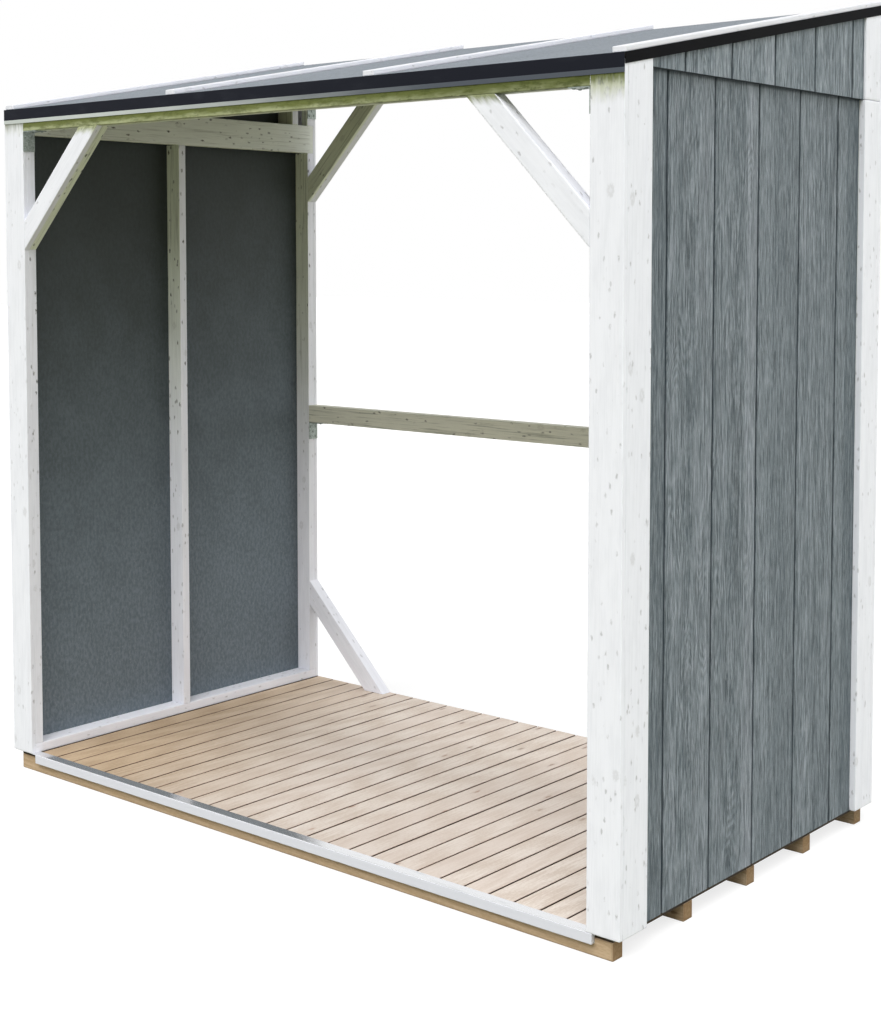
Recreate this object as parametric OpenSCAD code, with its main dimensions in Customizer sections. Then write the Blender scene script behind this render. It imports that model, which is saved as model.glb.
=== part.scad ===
// Log store: an open-fronted timber shelter with two clad side walls, a slatted floor and a pent roof.
// Lengths are in millimetres. +X runs along the store, -Y is the low front, +Z is up.
// The origin lies on the ground below the middle of the store.

/* [Store] */
// Width over the corner trims
store_w = 2226; // [1400:1:3200]
// Depth over the corner trims
store_d = 1225; // [800:1:1800]
// Height of the roof covering at the front edge
front_h = 1991; // [1400:1:2400]
// Rise of the roof covering from the front edge to the back edge
roof_rise = 236; // [100:1:500]

/* [Base] */
// Number of bearers under the floor
bearer_count = 5; // [3:1:8]
// Thickness of a bearer, front to back
bearer_t = 38; // [25:1:80]
// Height of a bearer
bearer_h = 43; // [30:1:100]
// Distance from the side trims to the ends of the bearers and the edges of the floor
bearer_inset = 26; // [0:1:60]
// Number of floor boards between the wall frames
board_count = 27; // [10:1:40]
// Gap between two floor boards
board_gap = 4.7; // [2:0.1:12]
// Thickness of a floor board
board_t = 12; // [9:1:30]
// Height of the sill across the front of the floor
sill_h = 25; // [15:1:60]
// How far the sill is set to the right, its end lapping under the corner trim
sill_shift = 15; // [-40:1:40]
// Depth of the metal strip on top of the sill
strip_d = 30; // [20:1:60]
// Thickness of the metal strip
strip_t = 2; // [1:0.5:4]

/* [Walls] */
// Width of a wall stud, measured through the wall
stud_w = 60; // [40:1:100]
// Thickness of studs, plates and rails
stud_t = 28; // [18:1:60]
// Height of the rail along the top of each wall
rail_h = 95; // [60:1:160]
// Underside of the top rail below the front roof edge
rail_drop = 76; // [40:1:300]
// Distance from the back of the store to the short stud above the rail
gable_stud_y = 113; // [60:1:300]
// Thickness of a wall panel
panel_t = 12; // [6:1:20]
// Spacing of the grooves in the panels
groove_pitch = 203; // [80:1:300]
// Width of a groove
groove_w = 9; // [3:0.5:20]
// Depth of a groove
groove_d = 4; // [1:0.5:8]
// Number of grooves showing on each panel
groove_count = 5; // [1:1:12]
// First groove of the lower panel, from the front of the store
wall_groove_y = 197; // [120:1:300]
// First groove of the gable panel, from the front of the store
gable_groove_y = 250; // [120:1:300]
// Lower edge of the gable panel below the front roof edge
gable_drop = 21; // [16:1:200]

/* [Trims] */
// Thickness of the boards on the front and back corners
face_trim_t = 13; // [8:1:25]
// Thickness of the boards on the side corners
side_trim_t = 18; // [14:1:30]
// Width of the side boards at the front
front_side_trim_w = 96; // [50:1:150]
// Width of the side boards at the back
rear_side_trim_w = 87; // [50:1:150]
// Joint between the two lengths of the side boards at the back
trim_joint = 1; // [0.5:0.5:4]

/* [Frame] */
// Face width of the back rail and of the braces
frame_w = 60; // [40:1:100]
// Height of the front beam on its front face
front_beam_h = 52; // [40:1:150]
// Height of the back beam on its front face
rear_beam_h = 110; // [40:1:200]
// Underside of the back rail above the ground
rear_rail_z = 970; // [500:1:1500]
// Reach of a brace along the post and along the beam
brace_leg = 350; // [200:1:600]
// Length of a bracket leg
bracket_leg = 60; // [30:1:100]
// Width of a bracket
bracket_w = 40; // [20:1:60]
// Thickness of the bracket metal
bracket_t = 2.5; // [1:0.5:4]

/* [Roof] */
// Thickness of the roof boarding, measured upright
roof_board_t = 12; // [8:1:25]
// Thickness of the roof covering, measured upright
felt_t = 2; // [1:0.5:6]
// Height of the metal edging along the front and back
eave_edge_h = 32; // [20:1:80]
// Height of the metal edging along the sides
verge_edge_h = 25; // [15:1:80]
// Thickness of the metal edging
edge_t = 2; // [1:0.5:4]
// Height of the pale strip below the front edging
eave_strip_h = 11; // [6:1:40]
// Number of battens up the roof
batten_count = 4; // [2:1:8]
// Width of a batten
batten_w = 36; // [20:1:60]
// Thickness of a batten, measured upright
batten_t = 13; // [8:1:30]
// Distance from the front edge to the batten ends
batten_inset = 4; // [0:1:40]

/* [Hidden] */
// Extra length that carries a cut clear of the solid
overrun = 5;
front_y = -store_d / 2;
back_y = store_d / 2;
side_x = store_w / 2;
frame_front_y = front_y + face_trim_t;
frame_back_y = back_y - face_trim_t;
panel_x = side_x - side_trim_t;
stud_x = panel_x - panel_t;
inner_x = stud_x - stud_w;
rail_x = inner_x + stud_t;
frame_t = stud_t + face_trim_t;
floor_z = bearer_h + board_t;
plate_z = floor_z + stud_t;
rail_z = front_h - rail_drop;
rail_top_z = rail_z + rail_h;
gable_z = front_h - gable_drop;
bearer_x = side_x - bearer_inset;
slope = roof_rise / store_d;
rear_stud_y = frame_back_y - stud_t;
front_beam_z = roof_under(front_y) - front_beam_h;
rear_beam_z = roof_under(back_y - frame_t) - rear_beam_h;
brace_cut = frame_w * sqrt(2);
white = [0.90, 0.90, 0.88];
panel_grey = [0.42, 0.46, 0.49];
pine = [0.80, 0.71, 0.60];
treated = [0.38, 0.27, 0.19];
black = [0.05, 0.05, 0.07];
felt_grey = [0.45, 0.46, 0.47];
zinc = [0.68, 0.70, 0.72];

function roof_top(y) = front_h + slope * (y - front_y);
function roof_under(y) = roof_top(y) - felt_t - roof_board_t;

// A box given by its two corners
module block(low, high) {
    translate(low)
        cube(high - low);
}

// A shape drawn in the side view and carried from x0 to x1
module side_profile(x0, x1, points) {
    translate([x0, 0, 0])
        rotate([90, 0, 90])
            linear_extrude(x1 - x0)
                polygon(points);
}

// A piece from y0 to y1 that stands at z0 and is cut to the slope of the roof
module under_roof(x0, x1, y0, y1, z0) {
    side_profile(x0, x1, [[y0, z0], [y1, z0], [y1, roof_under(y1)], [y0, roof_under(y0)]]);
}

// A sheet that follows the slope, drop below the top of the covering and t thick
module sloping(x0, x1, y0, y1, drop, t) {
    side_profile(x0, x1, [[y0, roof_top(y0) - drop - t], [y1, roof_top(y1) - drop - t],
        [y1, roof_top(y1) - drop], [y0, roof_top(y0) - drop]]);
}

// The right-hand piece and its mirror image
module both_sides() {
    children();
    mirror([1, 0, 0])
        children();
}

// A brace between post and beam, from its inner corner at the post
module brace(y, z, up) {
    translate([inner_x, y + frame_t, z])
        mirror([0, 0, up ? 1 : 0])
            rotate([90, 0, 0])
                linear_extrude(frame_t)
                    polygon([[0, -brace_leg], [0, brace_cut - brace_leg],
                        [brace_cut - brace_leg, 0], [-brace_leg, 0]]);
}

// An angle bracket below a beam or rail, against the post
module bracket(y, z) {
    translate([inner_x, y + (frame_t + bracket_w) / 2, z])
        rotate([90, 0, 0])
            linear_extrude(bracket_w)
                polygon([[0, 0], [0, -bracket_leg], [-bracket_t, -bracket_leg], [-bracket_t, -bracket_t],
                    [-bracket_leg, -bracket_t], [-bracket_leg, 0]]);
}

// Upright grooves in the outer face of a panel
module grooves(x, first_y, z0) {
    for (i = [0 : groove_count - 1])
        translate([x - groove_d, front_y + first_y + i * groove_pitch - groove_w / 2, z0 - overrun])
            cube([groove_d + overrun, groove_w, roof_top(back_y) - z0 + overrun]);
}

module bearers() {
    pitch = (frame_back_y - frame_front_y - bearer_t) / (bearer_count - 1);
    color(treated)
        for (i = [0 : bearer_count - 1])
            block([-bearer_x, frame_front_y + i * pitch, 0],
                [bearer_x, frame_front_y + i * pitch + bearer_t, bearer_h]);
}

module edge_boards() {
    color(treated)
        both_sides()
            block([inner_x, frame_front_y, bearer_h], [bearer_x, back_y, floor_z]);
}

module floor_boards() {
    pitch = (2 * inner_x - board_gap) / board_count;
    color(pine)
        for (i = [0 : board_count - 1])
            block([board_gap - inner_x + i * pitch, frame_front_y, bearer_h],
                [i * pitch + pitch - inner_x, back_y, floor_z]);
}

module front_sill() {
    color(white)
        block([sill_shift - inner_x, front_y, floor_z - sill_h],
            [sill_shift + inner_x, frame_front_y, floor_z]);
}

module sill_strip() {
    color(zinc)
        block([-inner_x, front_y, floor_z], [inner_x, front_y + strip_d, floor_z + strip_t]);
}

module right_bottom_plate() {
    color(white)
        block([inner_x, frame_front_y, floor_z], [stud_x, frame_back_y, plate_z]);
}

module left_bottom_plate() {
    mirror([1, 0, 0])
        right_bottom_plate();
}

module right_front_stud() {
    color(white)
        under_roof(inner_x, stud_x, frame_front_y, frame_front_y + stud_t, plate_z);
}

module left_front_stud() {
    mirror([1, 0, 0])
        right_front_stud();
}

module right_middle_stud() {
    color(white)
        block([inner_x, -stud_t / 2, plate_z], [stud_x, stud_t / 2, rail_z]);
}

module left_middle_stud() {
    mirror([1, 0, 0])
        right_middle_stud();
}

module right_rear_stud() {
    color(white)
        block([inner_x, rear_stud_y, plate_z], [stud_x, frame_back_y, rail_z]);
}

module left_rear_stud() {
    mirror([1, 0, 0])
        right_rear_stud();
}

module right_top_rail() {
    color(white)
        intersection() {
            block([inner_x, frame_front_y + stud_t, rail_z], [rail_x, frame_back_y, rail_top_z]);
            under_roof(inner_x, rail_x, front_y, back_y, rail_z);
        }
}

module left_top_rail() {
    mirror([1, 0, 0])
        right_top_rail();
}

module gable_studs() {
    color(white)
        both_sides()
            under_roof(inner_x, panel_x, back_y - gable_stud_y, back_y - gable_stud_y + stud_t, rail_top_z);
}

module rear_uprights() {
    color(white)
        both_sides()
            under_roof(inner_x, rail_x, rear_stud_y, frame_back_y, rail_top_z);
}

module right_wall_panel() {
    color(panel_grey)
        difference() {
            intersection() {
                block([stud_x, frame_front_y, floor_z], [panel_x, frame_back_y, rail_top_z]);
                under_roof(stud_x, panel_x, front_y, back_y, floor_z);
            }
            grooves(panel_x, wall_groove_y, floor_z);
        }
}

module left_wall_panel() {
    mirror([1, 0, 0])
        right_wall_panel();
}

module right_gable_panel() {
    outer_x = panel_x + panel_t;
    color(panel_grey)
        difference() {
            under_roof(panel_x, outer_x, frame_front_y + front_side_trim_w,
                frame_back_y - rear_side_trim_w, gable_z);
            grooves(outer_x, gable_groove_y, gable_z);
        }
}

module left_gable_panel() {
    mirror([1, 0, 0])
        right_gable_panel();
}

module right_front_trim() {
    color(white)
        under_roof(inner_x, side_x, front_y, frame_front_y, floor_z);
}

module left_front_trim() {
    mirror([1, 0, 0])
        right_front_trim();
}

module right_rear_trim() {
    color(white)
        under_roof(inner_x, side_x, frame_back_y, back_y, floor_z);
}

module left_rear_trim() {
    mirror([1, 0, 0])
        right_rear_trim();
}

module right_front_side_trim() {
    color(white)
        under_roof(panel_x, side_x, frame_front_y, frame_front_y + front_side_trim_w, floor_z);
}

module left_front_side_trim() {
    mirror([1, 0, 0])
        right_front_side_trim();
}

module right_rear_side_trim() {
    trim_y = frame_back_y - rear_side_trim_w;
    color(white) {
        block([panel_x, trim_y, floor_z], [side_x, frame_back_y, gable_z - trim_joint]);
        under_roof(panel_x, side_x, trim_y, frame_back_y, gable_z);
    }
}

module left_rear_side_trim() {
    mirror([1, 0, 0])
        right_rear_side_trim();
}

module front_beam() {
    color(white)
        under_roof(-inner_x, inner_x, front_y, front_y + frame_t, front_beam_z);
}

module rear_beam() {
    color(white)
        under_roof(-inner_x, inner_x, back_y - frame_t, back_y, rear_beam_z);
}

module rear_rail() {
    color(white)
        block([-inner_x, back_y - frame_t, rear_rail_z], [inner_x, back_y, rear_rail_z + frame_w]);
}

module front_braces() {
    color(white)
        both_sides()
            brace(front_y, front_beam_z, false);
}

module rear_braces() {
    color(white)
        both_sides()
            brace(back_y - frame_t, rear_beam_z, false);
}

module foot_braces() {
    color(white)
        both_sides()
            brace(back_y - frame_t, floor_z, true);
}

module corner_brackets() {
    color(zinc)
        both_sides() {
            bracket(front_y, front_beam_z);
            bracket(back_y - frame_t, rear_beam_z);
            bracket(back_y - frame_t, rear_rail_z);
        }
}

module roof_boarding() {
    color(pine)
        sloping(-side_x, side_x, front_y, back_y, felt_t, roof_board_t);
}

module roof_felt() {
    color(felt_grey)
        sloping(-side_x, side_x, front_y, back_y, 0, felt_t);
}

module eave_strip() {
    color(white)
        block([-side_x, front_y - edge_t, front_h - eave_edge_h - eave_strip_h],
            [side_x, front_y, front_h - eave_edge_h]);
}

module front_edging() {
    color(black)
        block([-side_x, front_y - edge_t, front_h - eave_edge_h], [side_x, front_y, front_h]);
}

module rear_edging() {
    color(black)
        block([-side_x, back_y, roof_top(back_y) - eave_edge_h], [side_x, back_y + edge_t, roof_top(back_y)]);
}

module verge_edgings() {
    color(black)
        both_sides()
            sloping(side_x, side_x + edge_t, front_y, back_y, 0, verge_edge_h);
}

module roof_battens() {
    pitch = (store_w - batten_w) / (batten_count - 1);
    color(white)
        for (i = [0 : batten_count - 1])
            sloping(i * pitch - side_x, i * pitch + batten_w - side_x,
                front_y + batten_inset, back_y, -batten_t, batten_t);
}

bearers();
edge_boards();
floor_boards();
front_sill();
sill_strip();
left_bottom_plate();
right_bottom_plate();
left_front_stud();
right_front_stud();
left_middle_stud();
right_middle_stud();
left_rear_stud();
right_rear_stud();
left_top_rail();
right_top_rail();
gable_studs();
rear_uprights();
left_wall_panel();
right_wall_panel();
left_gable_panel();
right_gable_panel();
left_front_trim();
right_front_trim();
left_rear_trim();
right_rear_trim();
left_front_side_trim();
right_front_side_trim();
left_rear_side_trim();
right_rear_side_trim();
front_beam();
rear_beam();
rear_rail();
front_braces();
rear_braces();
foot_braces();
corner_brackets();
roof_boarding();
roof_felt();
eave_strip();
front_edging();
rear_edging();
verge_edgings();
roof_battens();
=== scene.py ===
import math

import bpy
import numpy as np
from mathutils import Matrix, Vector


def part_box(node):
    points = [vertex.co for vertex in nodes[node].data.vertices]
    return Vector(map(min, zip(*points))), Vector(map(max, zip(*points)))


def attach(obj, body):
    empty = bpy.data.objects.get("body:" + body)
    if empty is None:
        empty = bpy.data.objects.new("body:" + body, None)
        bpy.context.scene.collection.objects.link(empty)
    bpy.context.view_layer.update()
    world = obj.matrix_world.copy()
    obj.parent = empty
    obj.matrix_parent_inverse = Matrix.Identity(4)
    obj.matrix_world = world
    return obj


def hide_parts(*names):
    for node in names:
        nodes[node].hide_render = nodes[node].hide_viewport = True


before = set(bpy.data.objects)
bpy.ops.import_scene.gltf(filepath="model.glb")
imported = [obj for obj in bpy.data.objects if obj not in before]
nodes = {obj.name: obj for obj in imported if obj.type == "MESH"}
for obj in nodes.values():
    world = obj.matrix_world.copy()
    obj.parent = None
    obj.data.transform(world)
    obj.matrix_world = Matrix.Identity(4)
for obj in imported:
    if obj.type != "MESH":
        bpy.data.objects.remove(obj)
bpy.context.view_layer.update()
rng = np.random.default_rng(41)
print("frame loaded:", len(nodes), "nodes")


def boxOf(name):  # low and high corner of a node's box
    low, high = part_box(name)
    return np.array(low), np.array(high)


# where the walls and the roof lie, read from the frame so that both models keep together
trimLow, trimHigh = boxOf("right_front_trim")
rearHigh = boxOf("right_rear_trim")[1]
innerX, sideX = boxOf("right_front_stud")[0][0], trimHigh[0]
frontY, frameFrontY, backY = trimLow[1], trimHigh[1], rearHigh[1]
slope = (rearHigh[2] - trimHigh[2]) / (backY - frameFrontY)
lapZ = boxOf("right_gable_panel")[0][2]


def roofUnder(y):  # top of the front trim plus the slope times the way back from it
    return trimHigh[2] + slope * (y - frameFrontY)


class Wire:  # one shader socket, so that maths on it reads as maths
    def __init__(self, finish, socket):
        self.finish, self.socket = finish, socket

    def maths(self, operation, *values):
        sockets = {i: v for i, v in enumerate(values)}
        return self.finish.node("ShaderNodeMath", {"operation": operation}, sockets)

    def __add__(self, other):
        return self.maths("ADD", self, other)

    def __radd__(self, other):
        return self.maths("ADD", other, self)

    def __sub__(self, other):
        return self.maths("SUBTRACT", self, other)

    def __rsub__(self, other):
        return self.maths("SUBTRACT", other, self)

    def __mul__(self, other):
        return self.maths("MULTIPLY", self, other)

    def __rmul__(self, other):
        return self.maths("MULTIPLY", other, self)

    def __truediv__(self, other):
        return self.maths("DIVIDE", self, other)

    def __rtruediv__(self, other):
        return self.maths("DIVIDE", other, self)

    def __abs__(self):
        return self.maths("ABSOLUTE", self)

    def sine(self):
        return self.maths("SINE", self)

    def floor(self):
        return self.maths("FLOOR", self)

    def fraction(self):
        return self.maths("FRACT", self)

    def most(self, other):
        return self.maths("MAXIMUM", self, other)

    def least(self, other):
        return self.maths("MINIMUM", self, other)


class Finish:  # one node tree and the few node types it is made from
    def __init__(self, name, tree=None):
        self.material = None
        if tree is None:
            self.material = bpy.data.materials.new(name)
            self.material.use_nodes = True
            tree = self.material.node_tree
        self.tree = tree
        self.shader = tree.nodes.get("Principled BSDF")

    def node(self, kind, settings, sockets, output=0):
        made = self.tree.nodes.new(kind)
        for key, value in settings.items():
            if key == "stops":
                while len(made.color_ramp.elements) < len(value):
                    made.color_ramp.elements.new(0.5)
                for element, (place, colour) in zip(made.color_ramp.elements, value):
                    element.position, element.color = place, (*colour, 1.0)
            else:
                setattr(made, key, value)
        for key, value in sockets.items():
            self.feed(made.inputs[key], value)
        return Wire(self, made.outputs[output])

    def feed(self, socket, value):  # a link, a colour or a plain value
        if isinstance(value, Wire):
            self.tree.links.new(value.socket, socket)
        elif isinstance(value, tuple) and len(value) == 3 and socket.type == "RGBA":
            socket.default_value = (*value, 1.0)
        else:
            socket.default_value = value

    def place(self):  # position in the object's own frame
        return self.node("ShaderNodeTexCoord", {}, {}, "Object")

    def attribute(self, name, output="Fac"):
        return self.node("ShaderNodeAttribute", {"attribute_name": name}, {}, output)

    def split(self, vector):
        made = self.node("ShaderNodeSeparateXYZ", {}, {0: vector}).socket.node
        return [Wire(self, out) for out in made.outputs]

    def join(self, x, y, z):
        return self.node("ShaderNodeCombineXYZ", {}, {0: x, 1: y, 2: z})

    def stretch(self, vector, amounts):
        return self.node("ShaderNodeVectorMath", {"operation": "MULTIPLY"}, {0: vector, 1: amounts})

    def shift(self, vector, amounts):
        return self.node("ShaderNodeVectorMath", {"operation": "ADD"}, {0: vector, 1: amounts})

    def span(self, vector):
        return self.node("ShaderNodeVectorMath", {"operation": "LENGTH"}, {0: vector}, "Value")

    def noise(self, vector, amounts, detail=2.0, roughness=0.5, output="Fac"):  # amounts: lumps to the metre
        return self.node("ShaderNodeTexNoise", {"noise_dimensions": "3D"},
                         {"Vector": self.stretch(vector, amounts), "Scale": 1.0, "Detail": detail,
                          "Roughness": roughness}, output)

    def cells(self, vector, output="Distance"):
        return self.node("ShaderNodeTexVoronoi", {"feature": "F1"}, {"Vector": vector, "Scale": 1.0}, output)

    def rise(self, value, low, high):  # 0 below low, 1 above high, eased between
        return self.node("ShaderNodeMapRange", {"interpolation_type": "SMOOTHSTEP"},
                         {"Value": value, "From Min": low, "From Max": high})

    def blend(self, amount, first, second, how="MIX"):
        return self.node("ShaderNodeMix", {"data_type": "RGBA", "blend_type": how},
                         {0: amount, 6: first, 7: second}, 2)

    def ramp(self, value, stops):
        return self.node("ShaderNodeValToRGB", {"stops": stops}, {0: value}, "Color")

    def bump(self, height, strength, distance):
        return self.node("ShaderNodeBump", {}, {"Height": height, "Strength": strength, "Distance": distance})

    def surface(self, **sockets):
        for key, value in sockets.items():
            self.feed(self.shader.inputs[key.replace("_", " ")], value)
        return self.material


def growthRings(f, grain, gap, wander):
    # distance from the heart of the log, wandering slowly along the board, cut into even rings
    drift = f.noise(grain, (1.3, 5.0, 5.0), output="Color")
    centred = f.stretch(f.shift(drift, (-0.5, -0.5, -0.5)), (0.0, wander, wander))
    across = f.stretch(f.shift(grain, centred), (0.03, 1.0, 1.0))
    turn = f.span(across) * (2 * math.pi / gap)
    return turn.sine() * 0.5 + 0.5


whiteLook = {"pale": (0.880, 0.889, 0.952), "streak": (0.822, 0.832, 0.894), "knot": (0.200, 0.185, 0.190),
             "ring": (0.60, 0.60, 0.63), "tick": (0.060, 0.056, 0.045), "shadeCast": (0.92, 0.96, 0.73),
             "railShade": (0.89, 0.875, 0.69), "grimeAndShade": (0.22, 0.23, 0.165), "dustAndShade": (0.56, 0.56, 0.58),
             "algaeShade": (0.135, 0.156, 0.042), "algaeShadeDark": (0.058, 0.072, 0.013),
             "algaeShadePale": (0.42, 0.45, 0.26)}
# where a mark fades in or out, from and to, in metres; aloft is the height less the rise of the roof,
# and leftHigher is how much higher up the film ends on the left post
whiteReach = {"aloft": (2.100, 2.104), "front": (-0.600, -0.590), "back": (0.575, 0.590),
              "side": (1.09, 1.10), "shelter": (0.35, 1.45), "shadeCast": (0.75, 1.75), "face": (-0.60, -0.585),
              "edging": (1.962, 1.964), "beamEnd": (1.020, 1.026), "postFilmShade": (1.880, 1.952),
              "beamFilmShade": (1.896, 1.922), "thickFilmShade": (1.922, 1.941), "leftHigher": 0.026}


def whiteWood():
    # streaks, rings and knots follow the grain; darker grain lines, a green painted shade and a film under
    # the eave that is partly algae and partly painted shadow follow the place on the store
    f = Finish("white_wood")
    look, reach = whiteLook, whiteReach
    grain = f.attribute("grain", "Vector")
    dose = f.attribute("film")
    x, y, z = f.split(f.place())
    nx, ny, nz = f.split(f.node("ShaderNodeNewGeometry", {}, {}, "Normal"))
    fine = f.noise(grain, (9.0, 260.0, 260.0), 3.0, 0.6)
    broad = f.noise(grain, (10.0, 42.0, 42.0), 3.0, 0.6)
    rings = growthRings(f, grain, 0.0085, 0.045)
    streaks = f.rise(fine * 0.45 + broad * 0.5 + rings * 0.06, 0.36, 0.60)
    colour = f.blend(streaks, look["streak"], look["pale"])
    aloft = f.rise(z - y * slope, *reach["aloft"])
    between = f.rise(y, *reach["front"]) * (1 - f.rise(y, *reach["back"]))
    inside = between * (1 - f.rise(abs(x), *reach["side"])) * (1 - aloft)
    # knots: the middle of a cell, ragged at the edge, kept in some cells; large faint ones, small dark ones
    ragged = (f.noise(grain, (150.0, 260.0, 260.0)) - 0.5) * 0.22
    spots = f.stretch(grain, (11.0, 17.0, 17.0))
    apart = f.cells(spots) + ragged * 0.9
    kept = f.rise(f.split(f.cells(spots, "Color"))[0], 0.50, 0.52)
    halo = (1 - f.rise(apart, 0.06, 0.22)) * kept
    eyelet = f.rise(apart, 0.04, 0.10) * (1 - f.rise(apart, 0.12, 0.20)) * kept
    colour = f.blend(halo * 0.20 + eyelet * 0.32, colour, look["ring"])
    specks = f.stretch(grain, (29.0, 60.0, 60.0))
    near = f.cells(specks) + ragged * 1.9
    chosen = f.split(f.cells(specks, "Color"))[1]
    crowd = f.rise(f.noise(grain, (7.0, 30.0, 30.0), 1.0), 0.36, 0.62)
    shelter = inside * f.rise(z, *reach["shelter"])
    strength = f.rise(chosen * 0.65 + crowd * 0.45 + shelter * 0.12 + dose * 0.12, 0.38, 0.82)
    core = (1 - f.rise(near, 0.07, 0.26)) * strength
    colour = f.blend(core * (0.44 + shelter * 0.50), colour, f.blend(shelter, look["knot"], look["tick"]))
    colour = f.blend(f.attribute("rim") * f.rise(fine, 0.50, 0.66) * 0.22, colour, look["ring"])
    # painted shade: a green tint on what faces the front or the ground under the roof, more with height, and
    # on the rails by their dose, browner on the back rail; the dark grain lines in it are partly dirt and
    # partly painted shade
    facing = f.rise((0 - ny).most(0 - nz), 0.25, 0.65)
    dosedShade = dose.least(1.0) * (1 - f.rise(ny, 0.3, 0.7))
    shadeCast = (inside * f.rise(z, *reach["shadeCast"]) * facing).most(dosedShade)
    railShaded = f.rise(dose, 1.05, 1.25)
    colour = f.blend(shadeCast, colour, f.blend(railShaded, look["shadeCast"], look["railShade"]), "MULTIPLY")
    lines = f.noise(grain, (4.5, 190.0, 190.0), 4.0, 0.70)
    grimeAndShade = shelter.most(railShaded) * f.rise(lines, 0.50, 0.70)
    colour = f.blend(grimeAndShade * (0.12 + 0.50 * shadeCast + 0.12 * railShaded), colour, look["grimeAndShade"])
    # green film under the eave, partly algae and partly painted shadow of the eave: all over the beam in
    # blotches, darker at the top and to the right, running out a hand's breadth down the posts
    front = (1 - f.rise(y, *reach["face"])) * (1 - f.rise(z, *reach["edging"]))
    front = front * (1 - f.rise(abs(nx), 0.5, 0.7))
    patchy = (f.noise(grain, (22.0, 90.0, 90.0), 3.0) - 0.5) * 0.030
    blotch = f.rise(f.noise(grain, (26.0, 70.0, 70.0), 4.0, 0.7), 0.48, 0.62)
    onBeam = 1 - f.rise(abs(x), *reach["beamEnd"])
    lower = z + patchy * 1.4 - (1 - f.rise(x, -0.1, 0.1)) * reach["leftHigher"]
    onPost = f.rise(lower, *reach["postFilmShade"]) * (1 - onBeam)
    covered = onPost + f.rise(z + patchy, *reach["beamFilmShade"]) * onBeam
    film = f.blend(f.rise(z + patchy * 0.8, *reach["thickFilmShade"]), look["algaeShadePale"], look["algaeShade"])
    film = f.blend(f.rise(x, 0.0, 0.8) * onBeam * 0.45, film, look["algaeShadeDark"])
    film = f.blend(blotch * (0.45 + 0.35 * f.rise(x, 0.1, 0.9)), film, look["algaeShadeDark"])
    colour = f.blend(covered * front, colour, film)
    # partly dust and partly painted shade: the laths above the roof are greyed, most on their upward faces,
    # against the light from above
    colour = f.blend(aloft * (0.25 + 0.55 * f.rise(nz, 0.6, 0.9)), colour, look["dustAndShade"])
    height = fine * 0.6 + rings * 0.25 - core * 0.8
    return f.surface(Base_Color=colour, Roughness=0.55 + fine * 0.22, Specular_IOR_Level=0.25,
                     Normal=f.bump(height, 0.30, 0.0006))


panelGrooves = {"pitch": 0.203, "count": 5, "wallFirst": 0.197, "gableFirst": 0.250,
                "across": [-0.0060, -0.0046, -0.0034, -0.0024, 0.0024, 0.0034, 0.0046, 0.0060],
                "deep": [0.0, 0.0005, 0.0026, 0.0040, 0.0040, 0.0026, 0.0005, 0.0]}
panelLook = {"dark": (0.066, 0.088, 0.103), "mid": (0.214, 0.248, 0.272), "light": (0.375, 0.406, 0.462),
             "groove": (0.030, 0.042, 0.052), "inside": (0.168, 0.204, 0.236), "fleck": (0.300, 0.320, 0.345),
             "topShade": (0.030, 0.035, 0.029), "gableLitLift": 1.20, "lapShadow": 0.011, "seedStep": 1.7,
             "seedStart": 31.5}


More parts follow.
